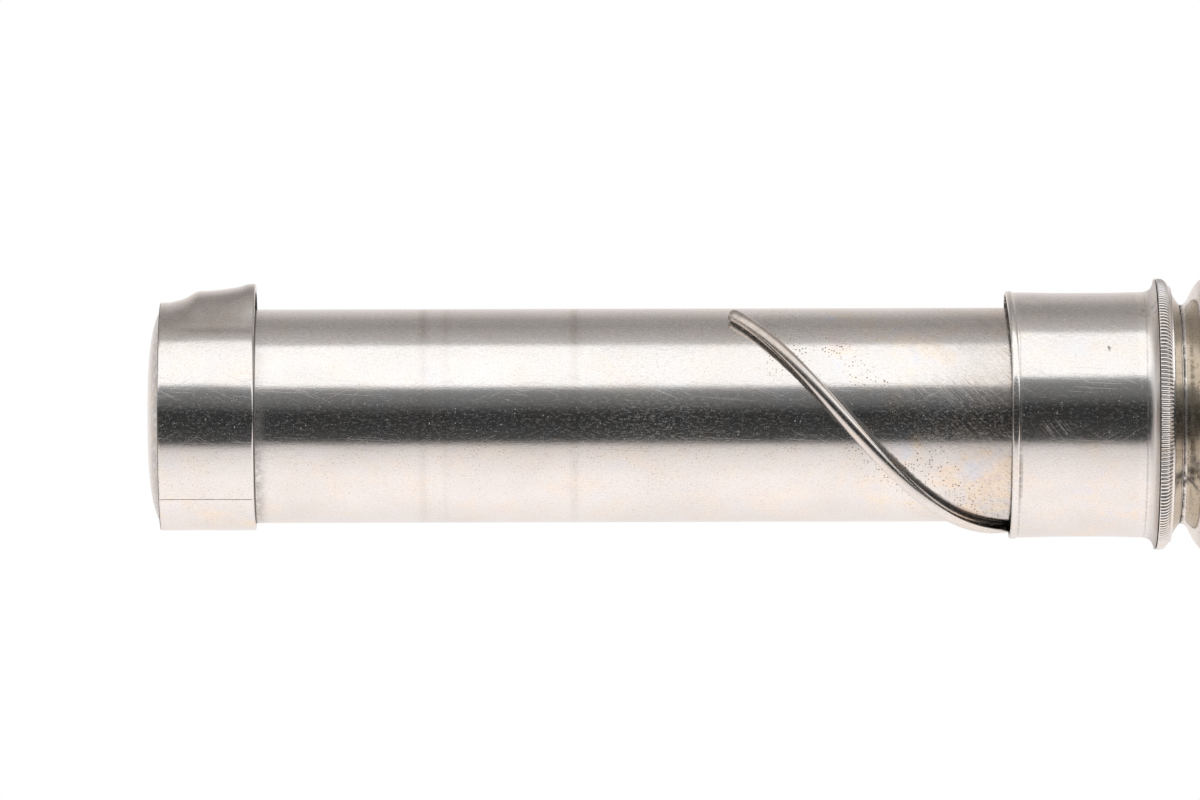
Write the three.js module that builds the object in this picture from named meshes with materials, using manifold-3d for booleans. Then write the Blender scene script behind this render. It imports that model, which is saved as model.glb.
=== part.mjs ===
// A metal reel seat for a fishing rod. A hooded cap closes the butt end of a plated barrel, and a
// sliding hood is drawn towards it by a milled nut that follows a wire wound round the barrel as a
// long, steep thread. A wooden core fills the barrel and takes the butt of the rod in its bore, and
// a cork ring fills the flared collar that meets the grip.
//
// Millimetres. +X runs along the barrel from the butt cap to the rod, and +Z is the side where the
// reel foot lies. The origin is the centre of the front face, where the rod enters. A station is a
// distance from the butt edge of the cap, and an angle is counted from +Z over -Y.
import * as THREE from "three";
import { mergeVertices } from "three/addons/utils/BufferGeometryUtils.js";
import Module from "manifold-3d";

const wasm = await Module();
wasm.setup();

// Driving dimensions.
const LENGTH = 94.3; // butt edge of the cap to the front face
const BARREL_RADIUS = 9.525; // three-quarter inch tube
const BARREL_WALL = 0.5;
const FILM = 0.05; // solder or glue between two fixed pieces
const RUNNING = 0.07; // radial clearance of the nut on the barrel

const CAP_WALL = 0.625;
const CAP_LENGTH = 8.62;
const CAP_EDGE = 0.15; // station where the skirt begins
const HOOD_RISE = 1.02; // height of the cap's hood at the end of its ramp
const HOOD_FLARE = 0.68; // further rise from the ramp to the mouth
const HOOD_RAMP = [0.8, 4.2]; // stations where the ramp starts and ends
const HOOD_SPREAD = [6, 35]; // angles where the hood's crown ends and where its foot ends
const DOME_HEIGHT = 0.95;
const DOME_FLAT_RADIUS = 4.6;

const WIRE_RADIUS = 0.65;
const WIRE_HEIGHT = 1.05; // the wire's height over the barrel
const WIRE_START = 51.2;
const WIRE_END = 90.6;
const WIRE_LEAD = 55; // advance for one turn
const WIRE_FIRST_ANGLE = 25; // angle of the wire at its first station

const HOOD_MOUTH = 75.7;
const HOOD_WALL = 0.28;
const MOUTH_RING_LENGTH = 0.9;
const FLANGE_START = 86.9;
const FLANGE_END = 88.68;
const FLANGE_RADIUS = 12.05;
const SPIGOT_START = 87.4; // the end of the nut that turns inside the flange
const NUT_START = 88.75; // the nut's milled ring begins here
const NUT_RING_LENGTH = 1.3;
const NUT_END = 90.83;
const NUT_WAIST_RADIUS = 10.35; // halfway along the nut's hollow bevel
const MILLED_RADIUS = 12.08;
const MILLED_TEETH = 180;
const TOOTH_DEPTH = 0.2;
const SLOT_CLEARANCE = 0.12;

const CHECK_START = 90.9;
const CHECK_RADIUS = 12.33;
const ROD_BORE_RADIUS = 4.76; // three-eighths inch rod butt
const ROD_BORE_END = 14;
const PIN_RADIUS = 0.6;

const FACETS = 60;

// Derived dimensions.
const CAP_BORE = BARREL_RADIUS + FILM;
const CAP_RADIUS = CAP_BORE + CAP_WALL;
const CORE_RADIUS = BARREL_RADIUS - BARREL_WALL - FILM;
const CORE_START = 0.85;
const BARREL_END = 91.9;
const WIRE_OUTER = BARREL_RADIUS + WIRE_HEIGHT;
const HOOD_BORE = WIRE_OUTER + RUNNING;
const HOOD_RADIUS = HOOD_BORE + HOOD_WALL;
const NUT_BORE = BARREL_RADIUS + RUNNING;
const NUT_SPIGOT_RADIUS = HOOD_BORE - RUNNING;
const NUT_SEAT_RADIUS = 11.3;

const degrees = THREE.MathUtils.degToRad;
const smoothstep = THREE.MathUtils.smoothstep;

// Looks.
const plate = { color: 0xc9c4bd, roughness: 0.28, metalness: 1 };
const brass = { color: 0xb59a5e, roughness: 0.4, metalness: 1 };
const steel = { color: 0x8d8d8a, roughness: 0.35, metalness: 1 };
const wood = { color: 0x8a5a36, roughness: 0.6, metalness: 0 };
const cork = { color: 0xc39a6b, roughness: 0.85, metalness: 0 };

// A named mesh of a geometry or of a manifold-3d solid.
function piece(name, shape, look) {
  const geometry = shape.isBufferGeometry ? shape : geometryOf(shape);
  const mesh = new THREE.Mesh(geometry, new THREE.MeshStandardMaterial(look));
  mesh.name = name;
  return mesh;
}

function solidOf(geometry) {
  const bare = geometry.clone();
  bare.deleteAttribute("normal");
  bare.deleteAttribute("uv");
  const merged = mergeVertices(bare, 1e-4);
  return new wasm.Manifold(
    new wasm.Mesh({
      numProp: 3,
      vertProperties: merged.attributes.position.array,
      triVerts: new Uint32Array(merged.index.array),
    }),
  );
}

function geometryOf(solid) {
  const mesh = solid.getMesh();
  const geometry = new THREE.BufferGeometry();
  geometry.setAttribute("position", new THREE.BufferAttribute(mesh.vertProperties, 3));
  geometry.setIndex(new THREE.BufferAttribute(mesh.triVerts, 1));
  geometry.computeVertexNormals();
  return geometry;
}

// A body of revolution about X. The outline is a list of [station, radius], in the order that keeps
// the metal on its right.
function turned(outline, facets = FACETS) {
  const points = outline.map(([station, radius]) => new THREE.Vector2(radius, station));
  return new THREE.LatheGeometry(points, facets).rotateZ(-Math.PI / 2);
}

// A plain ring.
function ring(start, end, inner, outer) {
  return turned([
    [start, inner],
    [start, outer],
    [end, outer],
    [end, inner],
    [start, inner],
  ]);
}

// Points of a cubic curve through the (station, radius) plane.
function curve(from, handle1, handle2, to, steps) {
  const [a, b, c, d] = [from, handle1, handle2, to].map((p) => new THREE.Vector2(...p));
  return new THREE.CubicBezierCurve(a, b, c, d).getPoints(steps).map((p) => [p.x, p.y]);
}

// A round rod lying along a radius of the barrel.
function radialRod(station, angle, inner, outer, radius) {
  const rod = new THREE.CylinderGeometry(radius, radius, outer - inner, 16);
  rod.translate(0, (inner + outer) / 2, 0);
  rod.rotateX(Math.PI / 2 + degrees(angle));
  return rod.translate(station, 0, 0);
}

// The helix that the centre of the wire follows.
class WireHelix extends THREE.Curve {
  constructor(start, end) {
    super();
    this.start = start;
    this.end = end;
  }

  getPoint(t) {
    const station = THREE.MathUtils.lerp(this.start, this.end, t);
    const turns = (station - WIRE_START) / WIRE_LEAD;
    const angle = degrees(WIRE_FIRST_ANGLE) + turns * 2 * Math.PI;
    const radius = WIRE_OUTER - WIRE_RADIUS;
    return new THREE.Vector3(station, -radius * Math.sin(angle), radius * Math.cos(angle));
  }
}

// A round bar along the wire's helix, from one station to another.
function helicalBar(start, end, radius) {
  const section = new THREE.Shape().absarc(0, 0, radius, 0, 2 * Math.PI);
  return new THREE.ExtrudeGeometry(section, {
    curveSegments: 5,
    steps: Math.ceil(end - start),
    extrudePath: new WireHelix(start, end),
  });
}

// Where the pins are: the cap's two, and the barrel's two.
const CAP_PINS = [
  { name: "cap_pin_1", station: 5, angle: 215 },
  { name: "cap_pin_2", station: 5, angle: 315 },
];
const BARREL_PINS = [
  { name: "barrel_pin_1", station: 22, angle: 270 },
  { name: "barrel_pin_2", station: 68, angle: 270 },
];
const PIN_DEPTH = 6.4; // radius that the pins reach down to

// A solid with the holes for the given pins.
function drilled(geometry, pins) {
  return pins.reduce((solid, { station, angle }) => {
    const hole = radialRod(station, angle, PIN_DEPTH - FILM, CAP_RADIUS + 2, PIN_RADIUS + FILM);
    return solid.subtract(solidOf(hole));
  }, solidOf(geometry));
}

function pins() {
  const flush = FILM / 2;
  return [
    ...CAP_PINS.map((pin) => ({ ...pin, outer: CAP_RADIUS - flush })),
    ...BARREL_PINS.map((pin) => ({ ...pin, outer: BARREL_RADIUS - flush })),
  ].map(({ name, station, angle, outer }) =>
    piece(name, radialRod(station, angle, PIN_DEPTH, outer, PIN_RADIUS), plate),
  );
}

function core() {
  const body = turned([
    [CORE_START, 0],
    [CORE_START, CORE_RADIUS],
    [LENGTH, CORE_RADIUS],
    [LENGTH, ROD_BORE_RADIUS],
    [ROD_BORE_END, ROD_BORE_RADIUS],
    [ROD_BORE_END, 0],
  ]);
  return piece("core", drilled(body, [...CAP_PINS, ...BARREL_PINS]), wood);
}

function barrel() {
  const tube = ring(CORE_START, BARREL_END, BARREL_RADIUS - BARREL_WALL, BARREL_RADIUS);
  return piece("barrel", drilled(tube, [...CAP_PINS, ...BARREL_PINS]), plate);
}

// The cork ring round the front end of the core, shaped to fill the collar.
function corkRing() {
  const start = BARREL_END + FILM;
  const inner = CORE_RADIUS + FILM;
  const ringOutline = turned([
    [start, inner],
    [start, 9.55],
    ...curve([start + 0.25, 9.85], [92.5, 10.3], [92.7, 11.7], [93.7, 11.8], 4),
    [LENGTH, 11.8],
    [LENGTH, inner],
    [start, inner],
  ]);
  return piece("cork_ring", ringOutline, cork);
}

// How far the cap is raised at a station and an angle, to form the hood over the reel foot.
function hoodRise(station, angle) {
  const ramp = smoothstep(station, ...HOOD_RAMP);
  const pastRamp = Math.max(0, station - HOOD_RAMP[1]) / (CAP_LENGTH - HOOD_RAMP[1]);
  const spread = 1 - smoothstep(Math.abs(angle), ...HOOD_SPREAD);
  return (HOOD_RISE * ramp + HOOD_FLARE * pastRamp ** 1.5) * spread;
}

// The cap's skirt is a turned cup wall with the hood pressed out of it.
function capSkirt() {
  const stations = [1.2, 2.4, 3.6, 5, 6.8, CAP_LENGTH];
  const skirt = turned([
    [CAP_EDGE, CAP_BORE],
    [CAP_EDGE, CAP_RADIUS - 0.1],
    ...stations.map((station) => [station, CAP_RADIUS]),
    ...stations.toReversed().map((station) => [station, CAP_BORE]),
    [CAP_EDGE, CAP_BORE],
  ]);
  const position = skirt.attributes.position;
  const point = new THREE.Vector3();
  for (let i = 0; i < position.count; i++) {
    point.fromBufferAttribute(position, i);
    const angle = THREE.MathUtils.radToDeg(Math.atan2(-point.y, point.z));
    const radius = Math.hypot(point.y, point.z);
    const scale = (radius + hoodRise(point.x, angle)) / radius;
    position.setXYZ(i, point.x, point.y * scale, point.z * scale);
  }
  return piece("cap_skirt", drilled(skirt, CAP_PINS), plate);
}

// The domed plate that closes the cap, with a flat middle and a spigot in the skirt's bore.
function capDisc() {
  const rim = CAP_RADIUS - 0.1;
  const domeRadii = [DOME_FLAT_RADIUS, 6.4, 7.8, 8.9, 9.7, rim];
  const dome = domeRadii.map((radius) => {
    const outward = (radius - DOME_FLAT_RADIUS) / (rim - DOME_FLAT_RADIUS);
    return [-DOME_HEIGHT * (1 - outward ** 1.6), radius];
  });
  const disc = turned([
    [-DOME_HEIGHT, 0],
    ...dome,
    [CAP_EDGE - FILM, rim],
    [CAP_EDGE - FILM, CAP_BORE - FILM],
    [CORE_START - FILM, CAP_BORE - FILM],
    [CORE_START - FILM, 0],
  ]);
  return piece("cap_disc", disc, plate);
}

// The wire that the nut follows, with its underside seated on the barrel.
function spiralWire() {
  const seat = solidOf(ring(WIRE_START - 2, WIRE_END + 2, 0.5, BARREL_RADIUS + FILM));
  return piece(
    "spiral_wire",
    solidOf(helicalBar(WIRE_START, WIRE_END, WIRE_RADIUS)).subtract(seat),
    plate,
  );
}

// The spun collar that covers the end of the barrel and swells to meet the grip.
function gripCheck() {
  const check = turned([
    [CHECK_START, CAP_BORE],
    [CHECK_START, CAP_BORE + 0.2],
    ...curve([91.2, 9.82], [91.95, 9.95], [92.15, 12.25], [93.7, CHECK_RADIUS], 8),
    [LENGTH, CHECK_RADIUS - 0.15],
    [LENGTH, 11.9],
    ...curve([93.7, 11.9], [92.6, 11.8], [92.4, 10.3], [BARREL_END, CAP_BORE], 4),
    [CHECK_START, CAP_BORE],
  ]);
  return piece("grip_check", check, plate);
}

function slidingHood() {
  const hood = new THREE.Group();
  const sleeveStart = HOOD_MOUTH + MOUTH_RING_LENGTH + FILM;
  const mouthMiddle = HOOD_MOUTH + MOUTH_RING_LENGTH / 2;
  const mouthRadius = HOOD_RADIUS + 0.12;
  const mouthRing = turned([
    [HOOD_MOUTH, HOOD_BORE],
    [HOOD_MOUTH, HOOD_RADIUS - 0.1],
    [HOOD_MOUTH + 0.3, mouthRadius],
    [mouthMiddle + 0.3, mouthRadius],
    [sleeveStart - FILM, HOOD_RADIUS],
    [sleeveStart - FILM, HOOD_BORE],
    [HOOD_MOUTH, HOOD_BORE],
  ]);
  hood.add(
    piece("mouth_ring", mouthRing, plate),
    piece("hood_sleeve", ring(sleeveStart, FLANGE_START - FILM, HOOD_BORE, HOOD_RADIUS), plate),
    piece("hood_flange", hoodFlange(), plate),
  );
  return hood;
}

// The groove shared by the flange and the nut's spigot, where a split ring holds them together.
const SWIVEL = { start: 87.75, end: 88.05, inner: NUT_SPIGOT_RADIUS - 0.26, outer: HOOD_BORE + 0.2 };

// The turned ring at the tail of the sliding hood, hollowed out towards the nut.
function hoodFlange() {
  const lip = FLANGE_END - 0.13;
  const hollow = [lip - 0.1, 11.66];
  return turned([
    [FLANGE_START, HOOD_BORE],
    ...curve([FLANGE_START, HOOD_RADIUS], [88, HOOD_RADIUS], [88.25, 11.15], hollow, 5),
    [lip, FLANGE_RADIUS],
    [FLANGE_END, FLANGE_RADIUS],
    [FLANGE_END, HOOD_BORE],
    [SWIVEL.end, HOOD_BORE],
    [SWIVEL.end, SWIVEL.outer],
    [SWIVEL.start, SWIVEL.outer],
    [SWIVEL.start, HOOD_BORE],
    [FLANGE_START, HOOD_BORE],
  ]);
}

// A flat spring ring that turns with the nut, with its gap over the nut's slot.
function swivelRing() {
  const [inner, outer] = [SWIVEL.inner + FILM, SWIVEL.outer - FILM];
  const middle = (SWIVEL.start + SWIVEL.end) / 2;
  const wholeRing = solidOf(ring(SWIVEL.start + FILM, SWIVEL.end - FILM, inner, outer));
  const turns = (middle - WIRE_START) / WIRE_LEAD;
  const gapAngle = WIRE_FIRST_ANGLE + 360 * turns;
  const gap = new THREE.BoxGeometry(3, 3.4, 3).translate(0, 0, outer);
  gap.rotateX(degrees(gapAngle)).translate(middle, 0, 0);
  return wholeRing.subtract(solidOf(gap));
}

function lockNut() {
  const nut = new THREE.Group();
  nut.add(
    piece("nut_hub", nutHub(), brass),
    piece("milled_ring", milledRing(), plate),
    piece("swivel_ring", swivelRing(), steel),
  );
  return nut;
}

// The hub runs on the barrel. Its spigot turns inside the hood's flange, the milled ring sits round
// its middle, and a slot along the helix lets it climb the wire.
function nutHub() {
  const hub = turned([
    [SPIGOT_START, NUT_BORE],
    [SPIGOT_START, NUT_SPIGOT_RADIUS],
    [SWIVEL.start, NUT_SPIGOT_RADIUS],
    [SWIVEL.start, SWIVEL.inner],
    [SWIVEL.end, SWIVEL.inner],
    [SWIVEL.end, NUT_SPIGOT_RADIUS],
    [NUT_START, NUT_SPIGOT_RADIUS],
    [NUT_START, NUT_SEAT_RADIUS],
    [NUT_START + NUT_RING_LENGTH, NUT_SEAT_RADIUS],
    [(NUT_START + NUT_RING_LENGTH + NUT_END) / 2, NUT_WAIST_RADIUS],
    [NUT_END, NUT_BORE + 0.25],
    [NUT_END, NUT_BORE],
    [SPIGOT_START, NUT_BORE],
  ]);
  const slot = helicalBar(SPIGOT_START - 3, NUT_END + 3, WIRE_RADIUS + SLOT_CLEARANCE);
  return solidOf(hub).subtract(solidOf(slot));
}

// A ring with straight milled teeth for the fingers, rounded off towards the rod.
function milledRing() {
  const outline = new THREE.Shape();
  for (let i = 0; i < 2 * MILLED_TEETH; i++) {
    const radius = MILLED_RADIUS - (i % 2) * TOOTH_DEPTH;
    const angle = (i * Math.PI) / MILLED_TEETH;
    const [y, z] = [radius * Math.cos(angle), radius * Math.sin(angle)];
    if (i === 0) outline.moveTo(y, z);
    else outline.lineTo(y, z);
  }
  outline.closePath();
  const bore = new THREE.Path().absarc(0, 0, NUT_SEAT_RADIUS + FILM, 0, 2 * Math.PI, true);
  outline.holes.push(bore);
  const milled = new THREE.ExtrudeGeometry(outline, {
    depth: NUT_RING_LENGTH,
    curveSegments: FACETS / 2,
    bevelEnabled: false,
  });
  milled.rotateY(Math.PI / 2).translate(NUT_START, 0, 0);
  const end = NUT_START + NUT_RING_LENGTH;
  const rounding = turned([
    [NUT_START - 1, 0],
    [NUT_START - 1, MILLED_RADIUS + 0.1],
    [NUT_START + 0.5, MILLED_RADIUS + 0.02],
    [NUT_START + 1, 11.8],
    [end, NUT_SEAT_RADIUS + 0.15],
    [end + 1, 0],
  ]);
  return solidOf(milled).intersect(solidOf(rounding));
}

const reelSeat = new THREE.Group();
reelSeat.position.x = -LENGTH;
reelSeat.add(core(), corkRing(), barrel(), capSkirt(), capDisc(), ...pins());
reelSeat.add(spiralWire(), gripCheck(), slidingHood(), lockNut());

export default reelSeat;
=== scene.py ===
"""A nickel-silver reel seat: the fine meshes, their materials, the studio and the camera.

Lengths are in millimetres along the barrel (x) and from its axis (r) until a mesh is written, which
is in metres. An angle is in degrees, counted from the top over the side that the camera sees.
"""

import math

import bmesh
import bpy
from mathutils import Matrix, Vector, noise


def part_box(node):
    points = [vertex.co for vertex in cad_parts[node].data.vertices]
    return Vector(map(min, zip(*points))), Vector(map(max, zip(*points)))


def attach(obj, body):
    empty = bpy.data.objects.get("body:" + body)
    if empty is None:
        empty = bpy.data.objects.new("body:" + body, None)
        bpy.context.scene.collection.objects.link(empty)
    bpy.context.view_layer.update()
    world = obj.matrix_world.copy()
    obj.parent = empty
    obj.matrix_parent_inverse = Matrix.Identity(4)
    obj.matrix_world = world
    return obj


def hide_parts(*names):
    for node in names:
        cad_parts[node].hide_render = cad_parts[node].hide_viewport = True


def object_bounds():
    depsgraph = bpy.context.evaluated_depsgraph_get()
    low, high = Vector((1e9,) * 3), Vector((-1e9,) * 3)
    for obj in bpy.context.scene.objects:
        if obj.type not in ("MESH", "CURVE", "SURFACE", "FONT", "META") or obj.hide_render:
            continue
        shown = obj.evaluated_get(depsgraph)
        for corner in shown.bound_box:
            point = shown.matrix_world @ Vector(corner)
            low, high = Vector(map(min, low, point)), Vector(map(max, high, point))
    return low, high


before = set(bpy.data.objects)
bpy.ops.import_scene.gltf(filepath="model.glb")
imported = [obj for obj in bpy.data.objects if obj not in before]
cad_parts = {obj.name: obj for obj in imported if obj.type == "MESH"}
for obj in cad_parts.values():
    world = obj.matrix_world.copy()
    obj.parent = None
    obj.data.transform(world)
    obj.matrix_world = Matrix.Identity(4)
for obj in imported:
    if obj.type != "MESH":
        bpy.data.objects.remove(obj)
cad_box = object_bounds()

MM = 0.001
FACETS = 288
SHARP_ANGLE = 32  # edges that turn by more degrees than this are shaded as corners


class Span:
    """Where a CAD node lies along the barrel, and its largest radius."""

    def __init__(self, node):
        low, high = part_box(node)
        self.start, self.end = low.x / MM, high.x / MM
        self.radius = max(-low.y, high.y, -low.z) / MM


# ---------------------------------------------------------------- sizes that the pieces share

BARREL = Span("barrel")
CAP = Span("cap_skirt")
CORE = Span("core")
FIT = 0.05  # gap between two fixed pieces
BARREL_WALL = 0.5
CAP_BORE = BARREL.radius + FIT
CAP_WALL = 0.6
HOOD_BORE = 10.645
NUT_BORE = 9.6
ROD_BORE = 4.76
ROD_BORE_DEPTH = 80.3

WIRE = Span("spiral_wire")
WIRE_LEAD = 55.0  # advance for one turn
WIRE_FIRST_ANGLE = 25.0
WIRE_RADIUS = 0.6
WIRE_CENTRE = BARREL.radius + 0.47
WIRE_STEEPNESS = math.atan(2 * math.pi * BARREL.radius / WIRE_LEAD)

BUTT = CAP.start - 0.15  # stations are counted from here
HOOD_RISE = 1.02
HOOD_FLARE = 0.66
HOOD_CROWN = 5.0  # half the angle that the cap's hood takes at its top
HOOD_FOOT = 38.0  # and at its foot
SEAM_ANGLE = 136.5  # joint line of the cap's sheet


def smoothstep(low, high, value):
    t = min(max((value - low) / (high - low), 0.0), 1.0)
    return t * t * (3 - 2 * t)


def bump_at(centre, width, value):
    """1 at the centre, falling to 0 smoothly over about one width to each side."""
    return math.exp(-(((value - centre) / width) ** 2) * 2)


def from_top(angle):
    """How many degrees an angle lies from the top, on either side."""
    return abs((angle + 180) % 360 - 180)


def wire_angle(x):
    return WIRE_FIRST_ANGLE + (x - WIRE.start) / WIRE_LEAD * 360


def distance_to_wire(x, angle):
    """Distance from the wire's middle, square to it, positive on its upper and right side."""
    arc = math.radians((wire_angle(x) - angle + 180) % 360 - 180) * BARREL.radius
    return arc * math.cos(WIRE_STEEPNESS)


def out_of_round(angle):
    """The sliding hood's tube has been squeezed a little, and so bends what it reflects."""
    return 0.12 * math.cos(math.radians(2 * (angle - 45))) + 0.06 * math.cos(math.radians(3 * (angle - 48)))


def pull_lip(piece, mouth):
    """Draws the hood's mouth forward at its top, as reel feet have done."""
    for vertex in piece.data.vertices:
        x, _, angle = where(vertex.co)
        top = smoothstep(75, 5, from_top(angle))
        vertex.co.x -= 0.33 * MM * top * smoothstep(mouth + 4.5, mouth, x)


# ---------------------------------------------------------------- mesh building


def point_at(x, r, angle):
    a = math.radians(angle)
    return (x * MM, -r * math.sin(a) * MM, r * math.cos(a) * MM)


def where(vertex):
    """A mesh point as (x, r, angle)."""
    x, y, z = (c / MM for c in vertex)
    return x, math.hypot(y, z), math.degrees(math.atan2(-y, z)) % 360


def finished(name, mesh, body, material, stands_for, smooth=SHARP_ANGLE):
    """Makes the object, closes and orients its mesh, and gives it its body and its material."""
    bm = bmesh.new()
    bm.from_mesh(mesh)
    bmesh.ops.remove_doubles(bm, verts=bm.verts, dist=2e-7)
    bmesh.ops.dissolve_degenerate(bm, edges=bm.edges, dist=1e-7)
    bmesh.ops.recalc_face_normals(bm, faces=bm.faces)
    bm.to_mesh(mesh)
    bm.free()
    mesh.shade_smooth()
    mesh.set_sharp_from_angle(angle=math.radians(smooth))
    piece = bpy.data.objects.new(name, mesh)
    bpy.context.scene.collection.objects.link(piece)
    slot, shader = material
    mesh.materials.append(shader)
    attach(piece, body)
    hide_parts(*stands_for)
    return piece


def grid_mesh(name, rows, closed_rows):
    """A quad mesh of rows of points. Each row is a closed loop; closed_rows joins last to first."""
    count = len(rows[0])
    vertices = [p for row in rows for p in row]
    faces = []
    for i in range(len(rows) if closed_rows else len(rows) - 1):
        a, b = i * count, (i + 1) % len(rows) * count
        faces += [(a + j, a + (j + 1) % count, b + (j + 1) % count, b + j) for j in range(count)]
    mesh = bpy.data.meshes.new(name)
    mesh.from_pydata(vertices, [], faces)
    return mesh


def revolved(name, outline, angles=None, shape=None):
    """A turned solid. The outline is closed, or runs from axis to axis.

    shape(x, r, angle) may give another radius, for a part that isn't quite round."""
    angles = angles or [360 * j / FACETS for j in range(FACETS)]
    shape = shape or (lambda x, r, angle: r)
    rows = [[point_at(x, shape(x, r, a) if r else 0, a) for a in angles] for x, r in outline]
    closed = outline[0][1] > 0
    return grid_mesh(name, rows, closed)


def rounded(corners, steps=5):
    """An outline whose corners may have a third value, the radius that rounds them."""
    outline = []
    for i, corner in enumerate(corners):
        here = Vector(corner[:2])
        if len(corner) < 3:
            outline.append(tuple(here))
            continue
        before = Vector(corners[i - 1][:2]) - here
        after = Vector(corners[(i + 1) % len(corners)][:2]) - here
        half = before.angle(after) / 2
        reach = min(corner[2] / math.tan(half), before.length * 0.49, after.length * 0.49)
        start, end = here + before.normalized() * reach, here + after.normalized() * reach
        for k in range(steps + 1):
            t = k / steps
            point = start * (1 - t) ** 2 + here * 2 * t * (1 - t) + end * t * t
            outline.append(tuple(point))
    return outline


def bezier(start, handle1, handle2, end, steps):
    a, b, c, d = (Vector(p) for p in (start, handle1, handle2, end))
    curve = []
    for k in range(steps + 1):
        t = k / steps
        s = 1 - t
        curve.append(tuple(a * s**3 + b * 3 * s * s * t + c * 3 * s * t * t + d * t**3))
    return curve


def stretch(start, end, step):
    """Evenly spaced x values from start to end."""
    count = max(1, round(abs(end - start) / step))
    return [start + (end - start) * k / count for k in range(count + 1)]


def waviness(x, angle, size, seed=0.0):
    """Gentle unevenness of a drawn or pressed sheet, between about -1 and 1."""
    a = math.radians(angle)
    place = Vector((x / size + seed, 10 * math.sin(a) / size, 10 * math.cos(a) / size + seed))
    return noise.noise(place)


def paint(piece, **values):
    """Stores values at each point for the material to read: numbers, or functions of (x, r, angle)."""
    places = [where(vertex.co) for vertex in piece.data.vertices]
    for name, value in values.items():
        layer = piece.data.attributes.new(name, "FLOAT", "POINT")
        layer.data.foreach_set("value", [value(*p) if callable(value) else value for p in places])


def cut(piece, cutter_mesh):
    """Takes the cutter's shape out of the piece."""
    cutter = bpy.data.objects.new("cutter", cutter_mesh)
    bpy.context.scene.collection.objects.link(cutter)
    modifier = piece.modifiers.new("cut", "BOOLEAN")
    modifier.object = cutter
    modifier.solver = "EXACT"
    depsgraph = bpy.context.evaluated_depsgraph_get()
    result = bpy.data.meshes.new_from_object(piece.evaluated_get(depsgraph))
    piece.modifiers.clear()
    piece.data = result
    bpy.data.objects.remove(cutter)
    result.set_sharp_from_angle(angle=math.radians(SHARP_ANGLE))


def helical_tube(name, start, end, radius, step=0.25):
    """A round bar along the wire's path. radius(x) may shrink to a rounded tip."""
    sides = 24
    slope = 2 * math.pi * WIRE_CENTRE / WIRE_LEAD
    rows = []
    for x in stretch(start, end, step):
        angle = math.radians(wire_angle(x))
        out = Vector((0, -math.sin(angle), math.cos(angle)))
        around = Vector((0, -math.cos(angle), -math.sin(angle)))
        along = (Vector((1, 0, 0)) + around * slope).normalized()
        side = along.cross(out)
        centre = Vector((x, 0, 0)) + out * WIRE_CENTRE
        turn = [2 * math.pi * k / sides for k in range(sides)]
        rows.append(
            [tuple((centre + (out * math.cos(t) + side * math.sin(t)) * radius(x)) * MM) for t in turn]
        )
    mesh = grid_mesh(name, rows, False)
    bm = bmesh.new()
    bm.from_mesh(mesh)
    bmesh.ops.holes_fill(bm, edges=[e for e in bm.edges if e.is_boundary], sides=0)
    bmesh.ops.recalc_face_normals(bm, faces=bm.faces)
    bm.to_mesh(mesh)
    bm.free()
    return mesh


# ---------------------------------------------------------------- materials


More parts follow.
